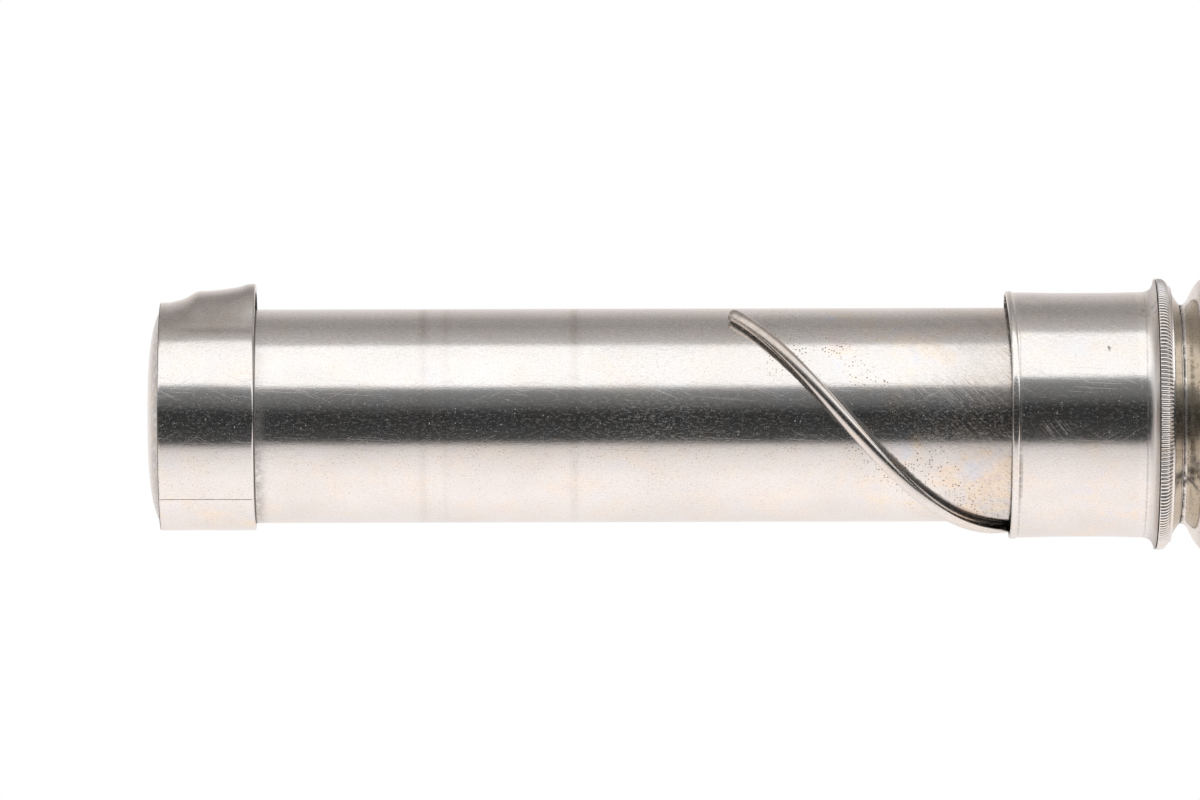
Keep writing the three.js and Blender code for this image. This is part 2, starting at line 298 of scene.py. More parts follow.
class Graph:
    """Short forms for building a material's nodes. Texture coordinates are in millimetres."""

    def __init__(self, name):
        self.material = bpy.data.materials.new(name)
        self.material.use_nodes = True
        self.nodes = self.material.node_tree.nodes
        self.links = self.material.node_tree.links
        self.shader = self.nodes["Principled BSDF"]
        coordinates = self.node("ShaderNodeTexCoord").outputs["Object"]
        self.solid = self.vector("SCALE", coordinates, scale=1 / MM)
        x, y, z = self.split(self.solid)
        around = self.math("ARCTAN2", z, self.math("MULTIPLY", y, -1))
        self.x, self.y, self.z = x, y, z
        self.around = around
        self.sheet = self.join(x, self.math("MULTIPLY", around, BARREL.radius), 0)

    def node(self, kind, **settings):
        made = self.nodes.new(kind)
        for key, value in settings.items():
            setattr(made, key, value)
        return made

    def put(self, socket, value):
        if isinstance(value, bpy.types.NodeSocket):
            self.links.new(value, socket)
        else:
            socket.default_value = value

    def math(self, operation, a, b=0.0, c=0.0, clamp=False):
        made = self.node("ShaderNodeMath", operation=operation, use_clamp=clamp)
        for socket, value in zip(made.inputs, (a, b, c)):
            self.put(socket, value)
        return made.outputs[0]

    def vector(self, operation, a, b=(0, 0, 0), scale=1.0):
        made = self.node("ShaderNodeVectorMath", operation=operation)
        for socket, value in zip((made.inputs[0], made.inputs[1], made.inputs[3]), (a, b, scale)):
            self.put(socket, value)
        return made.outputs[0]

    def split(self, vector):
        made = self.node("ShaderNodeSeparateXYZ")
        self.put(made.inputs[0], vector)
        return made.outputs[:3]

    def join(self, x, y, z):
        made = self.node("ShaderNodeCombineXYZ")
        for socket, value in zip(made.inputs, (x, y, z)):
            self.put(socket, value)
        return made.outputs[0]

    def mix(self, factor, a, b):
        made = self.node("ShaderNodeMix", data_type="RGBA")
        self.put(made.inputs[0], factor)
        for socket, value in ((made.inputs[6], a), (made.inputs[7], b)):
            self.put(socket, (*value, 1) if isinstance(value, tuple) else value)
        return made.outputs[2]

    def between(self, value, low, high, to_low=0.0, to_high=1.0):
        """value taken smoothly from low..high to to_low..to_high."""
        made = self.node("ShaderNodeMapRange", interpolation_type="SMOOTHSTEP")
        for socket, setting in zip(made.inputs, (value, low, high, to_low, to_high)):
            self.put(socket, setting)
        return made.outputs[0]

    def noise(self, place, size, detail=3.0, rough=0.5):
        made = self.node("ShaderNodeTexNoise")
        settings = {"Vector": place, "Scale": 1 / size, "Detail": detail, "Roughness": rough}
        for key, value in settings.items():
            self.put(made.inputs[key], value)
        return made.outputs[0]

    def dots(self, place, spacing, radius, share):
        """Round spots, in this share of the cells of this spacing."""
        made = self.node("ShaderNodeTexVoronoi")
        self.put(made.inputs["Vector"], place)
        self.put(made.inputs["Scale"], 1 / spacing)
        chance = self.split(made.outputs["Color"])[0]
        chosen = self.between(chance, share, share * 0.8)
        spot = self.between(made.outputs["Distance"], radius / spacing, radius / spacing * 0.45)
        return self.math("MULTIPLY", chosen, spot)

    def streaks(self, degrees, width, length, share, seed=0.0):
        """Fine lines on the surface, at this angle to the barrel's axis."""
        made = self.node("ShaderNodeVectorRotate", rotation_type="Z_AXIS")
        self.put(made.inputs["Vector"], self.sheet)
        self.put(made.inputs["Angle"], math.radians(degrees))
        place = self.vector("MULTIPLY", made.outputs[0], (1 / length, 1 / width, 1))
        place = self.vector("ADD", place, (seed, seed * 3, seed))
        return self.between(self.noise(place, 1.0, 1.5), 0.78 - share, 0.84 - share)

    def attribute(self, name):
        return self.node("ShaderNodeAttribute", attribute_name=name).outputs["Fac"]

    def bump(self, height, distance, below=None):
        made = self.node("ShaderNodeBump")
        self.put(made.inputs["Height"], height)
        made.inputs["Distance"].default_value = distance * MM
        made.inputs["Strength"].default_value = 1.0
        if below is not None:
            self.put(made.inputs["Normal"], below)
        return made.outputs[0]

    def finish(self, colour, roughness, normal, metallic=0.0):
        self.put(self.shader.inputs["Base Color"], colour)
        self.put(self.shader.inputs["Roughness"], roughness)
        self.put(self.shader.inputs["Metallic"], metallic)
        self.put(self.shader.inputs["Normal"], normal)
        return self.material


TARNISH_HUES = {
    0.3: (0.7, 0.76, 0.87),
    0.45: (0.83, 0.79, 0.78),
    0.56: (0.89, 0.78, 0.65),
    0.7: (0.84, 0.71, 0.71),
}
SCRATCHES = 0.4  # how strong the scratches are
STAIN_COLOUR = (0.36, 0.28, 0.22)
BRUSHED_COLOUR = (0.42, 0.39, 0.37)
PIT_COLOUR = (0.16, 0.12, 0.09)
DUST_COLOUR = (0.75, 0.74, 0.72)


def grime_beside_wire(g):
    """Dark bands along both edges of the wire, counted square to its path: grime along the upper edge, grime
    and painted shadow along the lower.
    """
    turned = g.math("MULTIPLY", g.math("SUBTRACT", g.x, WIRE.start), 2 * math.pi / WIRE_LEAD)
    ahead = g.math("ADD", g.math("ADD", turned, g.around), math.radians(WIRE_FIRST_ANGLE - 90))
    across = BARREL.radius * math.cos(WIRE_STEEPNESS)
    away = g.math("MULTIPLY", g.math("WRAP", ahead, math.pi, -math.pi), across)
    ragged = g.math("MULTIPLY", g.math("SUBTRACT", g.noise(g.solid, 0.9, 4, 0.7), 0.5), 0.5)
    away = g.math("ADD", away, ragged)
    upper = g.math("MULTIPLY", g.between(away, 0.3, 0.55), g.between(away, 1.0, 0.68))
    # The lower band is grime with painted shadow under the wire.
    lower = g.math("MULTIPLY", g.between(away, -0.4, -0.56), g.between(away, -0.82, -0.66))
    later = g.between(g.x, WIRE.start + 6.5, WIRE.start + 11)
    end = g.between(g.x, WIRE.start + 12, WIRE.start + 24, 0.6, 1.0)
    above = g.math("MULTIPLY", upper, g.math("MULTIPLY", later, end))
    below = g.math("MULTIPLY", lower, g.math("SUBTRACT", 0.85, g.math("MULTIPLY", later, 0.6)))
    return g.math("MULTIPLY", g.math("ADD", above, below), g.attribute("by_wire"), clamp=True)


def worn_metal(name, bright, dull, roughness, tarnish=0.5, pits=0.15, grime=(0.05, 0.04, 0.03)):
    """Old plated sheet: clouds of tarnish, polishing lines, scratches, pits and grime in corners, with
    painted shade in bores and painted shadow beside the wire and at the cap's edge.

    It reads what paint() stored, and takes 0 for what wasn't: tint, stain, brushed, rub, pitted, grime,
    by_wire, at_cap, haze and matte."""
    g = Graph(name)
    clouds = g.noise(g.solid, 9.0, 5, 0.6)
    colour = g.mix(g.between(clouds, 0.35, 0.68), bright, dull)

    # Heat and tarnish colours, mostly where the "tint" attribute says.
    hue = g.node("ShaderNodeValToRGB")
    g.put(hue.inputs[0], g.noise(g.solid, 2.6, 4, 0.62))
    ramp = hue.color_ramp
    while len(ramp.elements) < len(TARNISH_HUES):
        ramp.elements.new(0.5)
    for element, (place, stop) in zip(ramp.elements, TARNISH_HUES.items()):
        element.position = place
        element.color = (*stop, 1)
    patches = g.between(g.noise(g.solid, 4.0, 5, 0.65), 0.42, 0.62)
    tint = g.math("MULTIPLY", patches, g.math("ADD", g.attribute("tint"), tarnish * 0.25), clamp=True)
    colour = g.mix(tint, colour, hue.outputs[0])
    stain = g.math("MULTIPLY", g.attribute("stain"), g.noise(g.solid, 1.4, 5, 0.7), clamp=True)
    colour = g.mix(stain, colour, STAIN_COLOUR)

    # The grain of the surface: a fine speckle, drawn out a little along the barrel.
    grain = g.noise(g.vector("MULTIPLY", g.sheet, (0.6, 1, 1)), 0.12, 3, 0.7)
    shade = g.between(grain, 0.3, 0.7, 0.92, 1.03)
    colour = g.vector("MULTIPLY", colour, g.join(shade, shade, shade))

    # A dull brushed look where the "brushed" attribute says.
    brushing = g.noise(g.vector("MULTIPLY", g.sheet, (0.3, 1, 1)), 0.14, 3, 0.75)
    brushed = g.math("MULTIPLY", g.between(brushing, 0.45, 0.62), g.attribute("brushed"), clamp=True)
    colour = g.mix(brushed, colour, BRUSHED_COLOUR)

    # Fine lines: polishing along the barrel, rubbing beside the wire, and stray scratches.
    polish = g.noise(g.vector("MULTIPLY", g.sheet, (0.25, 14.0, 1.0)), 1.0, 3, 0.65)
    stray = g.math("MAXIMUM", g.streaks(24, 0.035, 7.0, 0.1), g.streaks(-28, 0.035, 6.0, 0.095, 5.0))
    stray = g.math("MAXIMUM", stray, g.streaks(3, 0.035, 8.0, 0.1, 11.0))
    rubbed = g.math("MULTIPLY", g.streaks(47, 0.045, 7.0, 0.2, 2.0), g.attribute("rub"))
    lines = g.math("MULTIPLY", g.math("MAXIMUM", stray, rubbed), SCRATCHES, clamp=True)

    # Pits and specks of two sizes, more of them where the "pitted" attribute says.
    more = g.math("ADD", g.attribute("pitted"), pits)
    crowd = g.between(g.noise(g.solid, 2.6, 5, 0.7), 0.4, 0.6)
    small = g.math("MULTIPLY", g.dots(g.solid, 0.26, 0.09, 0.6), g.math("MULTIPLY", crowd, more), clamp=True)
    large = g.math("MULTIPLY", g.dots(g.solid, 1.3, 0.12, 0.25), more)
    pit = g.math("ADD", small, large, clamp=True)
    colour = g.mix(g.math("MULTIPLY", pit, 0.7), colour, PIT_COLOUR)

    # Grime broken up in corners, with painted shade inside the bores; solid along the wire, grime with
    # painted shadow, and a solid painted shadow line at the cap's edge.
    broken = g.between(g.noise(g.solid, 0.5, 4, 0.7), 0.25, 0.6)
    dirt_and_shade = g.math("MULTIPLY", g.attribute("grime"), broken, clamp=True)
    dirt_and_shade = g.math("MAXIMUM", dirt_and_shade, grime_beside_wire(g))
    # Painted shadow: a thin dark line on the barrel just past the cap's edge.
    at_cap = g.math("MULTIPLY", g.between(g.x, CAP.end + 0.2, CAP.end + 0.04), g.attribute("at_cap"))
    dirt_and_shade = g.math("MAXIMUM", dirt_and_shade, at_cap)
    colour = g.mix(dirt_and_shade, colour, grime)

    # Pale dust and haze that catch the light where the metal looks dark.
    dust = g.math("ADD", g.dots(g.solid, 0.42, 0.07, 0.14), g.dots(g.solid, 0.21, 0.05, 0.12), clamp=True)
    colour = g.mix(g.math("MULTIPLY", dust, 0.8), colour, DUST_COLOUR)
    specks = g.noise(g.vector("MULTIPLY", g.sheet, (0.5, 1, 1)), 0.22, 4, 0.85)
    haze = g.math("MULTIPLY", g.between(specks, 0.5, 0.6), g.math("ADD", g.attribute("haze"), 0.12))

    # Roughness, then the surface's relief from coarse to fine.
    rough = g.math("ADD", roughness, g.math("MULTIPLY", g.math("SUBTRACT", clouds, 0.5), 0.12))
    rough = g.math("ADD", rough, g.math("MULTIPLY", g.math("SUBTRACT", polish, 0.5), 0.16))
    rough = g.math("ADD", rough, g.math("MULTIPLY", lines, 0.3))
    rough = g.math("ADD", rough, g.math("MULTIPLY", g.math("ADD", dirt_and_shade, pit), 0.35))
    rough = g.math("ADD", rough, g.attribute("matte"))
    rough = g.math("MAXIMUM", g.math("MINIMUM", rough, 0.9), 0.07)

    uneven = g.bump(g.noise(g.solid, 3.0, 2, 0.5), 0.008)
    polished = g.bump(polish, 0.0014, uneven)
    film = g.noise(g.vector("MULTIPLY", g.sheet, (0.6, 1, 1)), 0.3, 4, 0.85)
    polished = g.bump(film, 0.0045, polished)
    scratched = g.bump(g.math("SUBTRACT", 1.0, g.math("MAXIMUM", lines, pit)), 0.004, polished)
    covered = g.math("MAXIMUM", g.math("MULTIPLY", dirt_and_shade, 0.8), g.math("MULTIPLY", dust, 0.8))
    covered = g.math("MAXIMUM", covered, haze)
    return g.finish(colour, rough, scratched, g.math("SUBTRACT", 1.0, covered))


def wood_material():
    """Turned hardwood, with its rings across the front face and its pores along the barrel."""
    g = Graph("turned_hardwood")
    y = g.math("ADD", g.y, 21.0)
    z = g.math("ADD", g.z, 7.0)
    radius = g.math("SQRT", g.math("ADD", g.math("MULTIPLY", y, y), g.math("MULTIPLY", z, z)))
    wander = g.noise(g.vector("MULTIPLY", g.solid, (0.15, 1, 1)), 5.0, 3, 0.5)
    rings = g.math("SINE", g.math("MULTIPLY", g.math("ADD", radius, g.math("MULTIPLY", wander, 3.0)), 5.2))
    pores = g.noise(g.vector("MULTIPLY", g.solid, (0.08, 1, 1)), 0.16, 3, 0.6)
    colour = g.mix(g.between(rings, -1, 1), (0.36, 0.19, 0.09), (0.2, 0.095, 0.045))
    colour = g.mix(g.between(pores, 0.55, 0.72), colour, (0.09, 0.045, 0.025))
    rough = g.between(pores, 0.3, 0.7, 0.45, 0.65)
    height = g.math("ADD", g.math("MULTIPLY", pores, -1.0), g.math("MULTIPLY", rings, 0.15))
    return g.finish(colour, rough, g.bump(height, 0.02))


def cork_material():
    """Sanded cork, with its grain in cells and dark pores."""
    g = Graph("sanded_cork")
    cells = g.noise(g.solid, 0.5, 5, 0.65)
    patches = g.noise(g.solid, 2.5, 3, 0.5)
    pores = g.math("MAXIMUM", g.dots(g.solid, 1.1, 0.32, 0.35), g.dots(g.solid, 0.5, 0.14, 0.3))
    colour = g.mix(g.between(patches, 0.35, 0.65), (0.62, 0.42, 0.24), (0.5, 0.31, 0.16))
    colour = g.mix(g.between(cells, 0.4, 0.62), colour, (0.68, 0.5, 0.31))
    colour = g.mix(g.math("MULTIPLY", pores, 0.8), colour, (0.14, 0.075, 0.04))
    height = g.math("SUBTRACT", g.math("MULTIPLY", cells, 0.4), pores)
    return g.finish(colour, g.between(cells, 0.3, 0.7, 0.75, 0.92), g.bump(height, 0.12))


NICKEL = (
    "nickel_silver",
    worn_metal("aged_nickel_silver", (0.825, 0.805, 0.795), (0.775, 0.748, 0.73), roughness=0.08),
)
WORN = (
    "worn_nickel",
    worn_metal(
        "pitted_nickel",
        bright=(0.86, 0.82, 0.79),
        dull=(0.8, 0.745, 0.695),
        roughness=0.1,
        pits=1.0,
        grime=(0.07, 0.045, 0.03),
    ),
)
BRASS = (
    "brass",
    worn_metal("dull_brass", (0.66, 0.6, 0.49), (0.54, 0.48, 0.37), roughness=0.18, tarnish=0.3, pits=0.6),
)
STEEL = ("spring_steel", worn_metal("spring_steel", (0.55, 0.54, 0.53), (0.42, 0.41, 0.4), 0.32))
WOOD = ("hardwood", wood_material())
CORK = ("cork", cork_material())


# ---------------------------------------------------------------- the fixed pieces


def dull_top(x, r, angle):
    """How brushed a round piece looks at a place: most of all along its upper side."""
    return 0.3 * smoothstep(62, 48, from_top(angle))


STAIN_BANDS = [(23.6, 0.5, 0.7), (25.6, 0.4, 0.4), (37.0, 0.5, 0.7)]  # station, width, strength


def make_barrel():
    inner, outer = BARREL.radius - BARREL_WALL, BARREL.radius
    ends = 0.12  # bevel at both ends
    outline = (
        [(BARREL.start, inner), (BARREL.start, outer - ends)]
        + [(x, outer) for x in stretch(BARREL.start + ends, BARREL.end - ends, 0.32)]
        + [(BARREL.end, outer - ends), (BARREL.end, inner)]
    )

    def shape(x, r, angle):
        return r + 0.012 * (waviness(x, angle, 9.0) - 0.6) if r > inner else r

    mesh = revolved("barrel_tube", outline, shape=shape)
    piece = finished("barrel_tube", mesh, "seat", NICKEL, ["barrel"])

    def grime(x, r, angle):
        side = 0.3 + 0.7 * smoothstep(70, 95, angle)
        return 0.4 * side * smoothstep(CAP.end + 1.4, CAP.end, x)

    # Where the painted shadow line at the cap's edge may fall.
    def at_cap(x, r, angle):
        return 0.85 if x < CAP.end + 1 else 0.0

    def by_wire(x, r, angle):
        return smoothstep(WIRE.start - 0.2, WIRE.start + 0.5, x)

    def pitted(x, r, angle):
        at_wire = smoothstep(WIRE.start - 1, WIRE.start + 5, x)
        beside = smoothstep(5.0, 0.5, abs(distance_to_wire(x, angle) - 1.5))
        return 2.2 * at_wire * beside + 0.25 * smoothstep(60, 100, angle) * smoothstep(140, 110, angle)

    def matte(x, r, angle):
        return 0.05 * bump_at(44, 7, x - BUTT)

    def haze(x, r, angle):
        station = x - BUTT
        near_mouth = smoothstep(WIRE.start + 12, WIRE.start + 23, x)
        above_wire = smoothstep(0.6, 3.0, distance_to_wire(x, angle))
        return 0.13 * bump_at(44, 7, station) + 0.16 * near_mouth * above_wire

    def rub(x, r, angle):
        above_wire = smoothstep(0.6, 3.0, distance_to_wire(x, angle))
        return above_wire * 1.4 * smoothstep(WIRE.start + 11, WIRE.start + 21, x)

    def tint(x, r, angle):
        away = distance_to_wire(x, angle)
        above_wire = smoothstep(0.5, 4.0, away) * smoothstep(WIRE.start, WIRE.start + 8, x)
        beside_wire = smoothstep(6.0, 1.0, abs(away)) * smoothstep(WIRE.start + 5, WIRE.start + 12, x)
        low = smoothstep(95, 120, angle) * smoothstep(180, 150, angle)
        return 0.1 + 1.6 * above_wire * low + 0.2 * low + 0.45 * above_wire + 0.6 * beside_wire * low

    def stain(x, r, angle):
        station = x - BUTT
        bands = sum(much * bump_at(place, width, station) for place, width, much in STAIN_BANDS)
        top = smoothstep(55, 35, from_top(angle))
        near_hood = 0.8 * smoothstep(WIRE.start + 14, WIRE.start + 25, x)
        worn_side = 0.6 + 0.4 * smoothstep(60, 80, angle) * smoothstep(110, 90, angle)
        return bands * (0.35 + 0.65 * top) + near_hood * worn_side

    paint(piece, grime=grime, pitted=pitted, rub=rub, tint=tint, stain=stain, brushed=dull_top)
    paint(piece, by_wire=by_wire, matte=matte, haze=haze, at_cap=at_cap)


def hood_rise(x, angle):
    """How far the cap's sheet is pressed out at a place."""
    station = x - BUTT
    side = from_top(angle)
    ramp = 0.3 * smoothstep(0.7, 2.4, station) + 0.7 * smoothstep(1.9, 3.7, station)
    foot = 4.0  # station where the pressed ramp ends
    past = max(0.0, station - foot) / (CAP.end - BUTT - foot)
    lip = 0.1 * bump_at(CAP.end - 0.75, 0.75, x)
    spread = 1 - smoothstep(HOOD_CROWN, HOOD_FOOT, side)
    valley = 0.05 * bump_at(HOOD_FOOT + 1.5, 4.0, side) * ramp
    dented = 1 + 0.06 * waviness(x, angle, 2.6, 3.0)
    return (HOOD_RISE * ramp + HOOD_FLARE * past**1.5 + lip) * spread * dented - valley


def make_cap():
    edge = 0.22
    outer = CAP_BORE + CAP_WALL
    outside = rounded([(CAP.start, CAP_BORE), (CAP.start, outer - 0.03, 0.08), (CAP.end, outer)])
    turns = (0.4, 0.8, 1.2, 1.57)
    lip = [(CAP.end - edge * (1 - math.sin(t)), outer - edge * (1 - math.cos(t))) for t in turns]
    outline = (
        outside[:-1]
        + [(x, outer) for x in stretch(CAP.start + 0.15, CAP.end - edge, 0.12)]
        + lip
        + [(x, CAP_BORE) for x in stretch(CAP.end, CAP.start + 0.4, 0.2)]
    )
    # A facet each degree, and finer ones at the seam.
    fine = [SEAM_ANGLE + d for d in (-0.4, -0.2, 0, 0.2, 0.4)]
    angles = sorted(fine + [j for j in range(360) if abs(j - SEAM_ANGLE) > 0.8])

    def shape(x, r, angle):
        outside_face = smoothstep(CAP_BORE, CAP_BORE + 0.3, r)
        seam = 0.03 * smoothstep(0.25, 0.0, abs(angle - SEAM_ANGLE))
        uneven = 0.03 * (waviness(x, angle, 5.5, 7.0) - 0.5)
        return r + hood_rise(x, angle) + outside_face * (uneven - seam)

    mesh = revolved("butt_cap", outline, angles, shape)
    piece = finished("butt_cap", mesh, "seat", NICKEL, ["cap_skirt"])

    def grime(x, r, angle):
        seam = 0.45 * smoothstep(0.3, 0.0, abs(angle - SEAM_ANGLE))
        # Painted shade: the inside of the cap and of its hood's pocket is darkened.
        inside = smoothstep(CAP_BORE + 0.35, CAP_BORE, r - max(0, hood_rise(x, angle)))
        inside *= smoothstep(CAP.end - 0.2, CAP.end - 0.5, x)
        joint = 0.3 * smoothstep(CAP.start + 0.15, CAP.start, x)
        return max(seam, inside, joint)

    def tint(x, r, angle):
        return 0.2 + 0.5 * smoothstep(120, 170, angle) * smoothstep(260, 200, angle)

    def stain(x, r, angle):
        side = from_top(angle)
        return 0.5 * smoothstep(60, 38, side) * smoothstep(4, 18, side)

    paint(piece, grime=grime, tint=tint, stain=stain, brushed=dull_top, pitted=0.2)


def make_cap_disc():
    disc = Span("cap_disc")
    rim = disc.radius
    foot = (BUTT + 0.02, 9.35)  # where the dome's shoulder meets its brim
    shoulder = bezier((disc.start, 3.0), (disc.start, 6.2), (disc.start + 0.4, 8.2), foot, 40)
    brim = [(foot[0] + 0.1 * t, foot[1] + (rim - foot[1]) * t) for t in (k / 12 for k in range(1, 13))]
    grooves = (8.6, 9.2, 9.6, 9.85)

    def lined(x, r):
        return x + 0.025 * sum(smoothstep(0.07, 0.0, abs(r - g)) for g in grooves)

    outline = [(disc.start, 0.0), (disc.start, 1.5)] + [(lined(x, r), r) for x, r in shoulder + brim]
    outline += [(CAP.start - 0.02, rim), (CAP.start - 0.02, CAP_BORE - FIT)]
    outline += [(disc.end, CAP_BORE - FIT), (disc.end, 0.0)]
    piece = finished("cap_dome", revolved("cap_dome", outline), "seat", NICKEL, ["cap_disc"])

    def grime(x, r, angle):
        lines = 0.6 * max(smoothstep(0.09, 0.0, abs(r - g)) for g in grooves)
        return max(lines, 0.5 * smoothstep(rim - 0.05, rim, r), 0.35 * smoothstep(6.5, 9.0, r))

    paint(piece, grime=grime, tint=0.4, pitted=lambda x, r, angle: 0.35 * smoothstep(7, 9, r))


def make_wire():
    """The wire, which stops a little short of the CAD wire's ends and starts with a rounded tip."""
    start, end, tip = WIRE.start + 0.1, WIRE.end - 0.1, 0.45

    def radius(x):
        t = min(1.0, (x - start) / tip)
        return WIRE_RADIUS * math.sqrt(max(0.02, 1 - (1 - t) ** 2)) if t < 1 else WIRE_RADIUS

    mesh = helical_tube("locking_wire", start, end, radius)
    piece = finished("locking_wire", mesh, "seat", NICKEL, ["spiral_wire"], smooth=60)

    def grime(x, r, angle):
        # Darker where the wire meets the barrel: grime, and painted shade in the crease under it.
        return 0.9 * smoothstep(BARREL.radius + 0.2, BARREL.radius + 0.02, r)

    def worn_end(x, r, angle):
        return smoothstep(WIRE.start + 13, WIRE.start + 2, x)

    paint(
        piece,
        grime=grime,
        tint=0.5,
        rub=0.6,
        stain=lambda x, r, angle: 0.25 + 0.75 * worn_end(x, r, angle),
        matte=lambda x, r, angle: 0.05 + 0.12 * worn_end(x, r, angle),
    )


def make_pin(name):
    """A filed-off pin, a little domed where it shows."""
    low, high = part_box(name)
    middle = (low + high) / 2
    x = middle.x / MM
    angle = math.degrees(math.atan2(-middle.y, middle.z))
    top = (BARREL.radius if name.startswith("barrel") else CAP_BORE + CAP_WALL) + 0.03
    bottom, radius = 6.4, (high.x - low.x) / 2 / MM
    axis = Vector(point_at(0, 1, angle)) / MM
    across = Vector((1, 0, 0))
    beside = axis.cross(across)
    profile = [(bottom, 0.0), (bottom, radius), (top - 0.1, radius), (top - 0.03, radius * 0.8), (top, 0.0)]
    turn = [2 * math.pi * k / 40 for k in range(40)]
    rows = [
        [
            tuple((Vector((x, 0, 0)) + axis * h + (across * math.cos(t) + beside * math.sin(t)) * r) * MM)
            for t in turn
        ]
        for h, r in profile
    ]
    piece = finished(name + "_head", grid_mesh(name, rows, False), "seat", NICKEL, [name], smooth=40)
    paint(piece, tint=0.5)


def make_check():
    check = Span("grip_check")
    start, end, rim = check.start, check.end, check.radius
    inside_rim = rim - 0.43
    neck = CAP_BORE + 0.22
    flare = bezier(
        (start + 0.25, neck), (start + 0.95, 9.95), (start + 1.15, rim - 0.08), (end - 0.7, rim), 26
    )
    back = bezier((end - 0.6, inside_rim), (end - 1.7, 11.8), (end - 1.9, 10.3), (BARREL.end, CAP_BORE), 16)
    outline = rounded(
        [(start, CAP_BORE), (start, neck - 0.06, 0.06), *flare]
        + [(end, rim - 0.12, 0.12), (end, inside_rim, 0.08)]
        + back
    )

    def shape(x, r, angle):
        outside = smoothstep(CAP_BORE, CAP_BORE + 0.2, r)
        dent = 0.1 * bump_at(start + 1.0, 0.5, x) * bump_at(127, 5, angle)
        return r + outside * (0.02 * (waviness(x, angle, 2.2, 5.0) - 0.6) - dent)

    mesh = revolved("grip_check_shell", outline, shape=shape)
    piece = finished("grip_check_shell", mesh, "seat", WORN, ["grip_check"])

    def grime(x, r, angle):
        joint = 0.9 * smoothstep(start + 0.3, start + 0.12, x)
        path = 127 + 4 * waviness(x, angle, 0.7)
        crack = 0.9 * bump_at(path, 2.2, angle) * smoothstep(start + 1.7, start + 0.9, x)
        blot = 0.8 * bump_at(113, 4, angle) * bump_at(start + 1.0, 0.5, x)
        return min(1, joint + crack + blot)

    def stain(x, r, angle):
        # Stain left off the side about 60 degrees from the top, where the highlight falls, so that band
        # stays bright: a painted highlight.
        return 0.7 * smoothstep(start + 1.2, start + 1.8, x) * (1 - 0.8 * bump_at(60, 24, angle))

    paint(piece, grime=grime, stain=stain, tint=0.15, pitted=0.9, haze=-0.06)


def make_core():
    outer = BARREL.radius - BARREL_WALL - FIT
    end = CORE.end
    outline = rounded(
        [
            (CORE.start, 0.0),
            (CORE.start, outer, 0.1),
            (end, outer, 0.08),
            (end, ROD_BORE, 0.25),
            (end - ROD_BORE_DEPTH, ROD_BORE),
            (end - ROD_BORE_DEPTH, 0.0),
        ]
    )
    finished("wooden_core", revolved("wooden_core", outline), "seat", WOOD, ["core"])


def make_cork():
    ring = Span("cork_ring")
    inner = BARREL.radius - BARREL_WALL
    top = ring.radius
    start, end = ring.start, ring.end
    flare = bezier(
        (start + 0.25, 9.85), (start + 0.55, 10.3), (start + 0.75, top - 0.1), (end - 0.6, top), 10
    )
    outline = rounded([(start, inner), (start, 9.55), *flare, (end, top, 0.15), (end, inner, 0.06)])

    def shape(x, r, angle):
        return r - 0.04 * abs(waviness(x, angle, 1.2, 9.0)) if r > inner + 0.1 else r

    finished("cork_filler", revolved("cork_filler", outline, shape=shape), "seat", CORK, ["cork_ring"])


# ---------------------------------------------------------------- the sliding hood


def make_mouth_ring():
    ring = Span("mouth_ring")
    start, end, top = ring.start, ring.end, ring.radius
    base = Span("hood_sleeve").radius
    bead = [
        (start + 0.32 - 0.32 * math.cos(t), base - 0.02 + (top - base + 0.02) * math.sin(t))
        for t in (math.pi * k / 12 for k in range(13))
    ]
    outline = rounded(
        [(start, HOOD_BORE, 0.08), (start, base - 0.05)]
        + bead
        + [(start + 0.74, base - 0.03), (start + 0.82, base), (end + FIT, base), (end + FIT, HOOD_BORE)]
    )

    def shape(x, r, angle):
        return r + out_of_round(angle) * smoothstep(HOOD_BORE + 0.05, base - 0.1, r)

    mesh = revolved("hood_mouth", outline, shape=shape)
    piece = finished("hood_mouth", mesh, "sliding_hood", NICKEL, ["mouth_ring"])
    pull_lip(piece, start)

    def grime(x, r, angle):
        groove = 0.3 * bump_at(start + 0.74, 0.07, x)
        # Painted shade: the ring's bore is darkened.
        inside = smoothstep(HOOD_BORE + 0.2, HOOD_BORE, r)
        return max(groove, inside, 0.4 * bump_at(start, 0.1, x))

    paint(piece, grime=grime, tint=0.3)


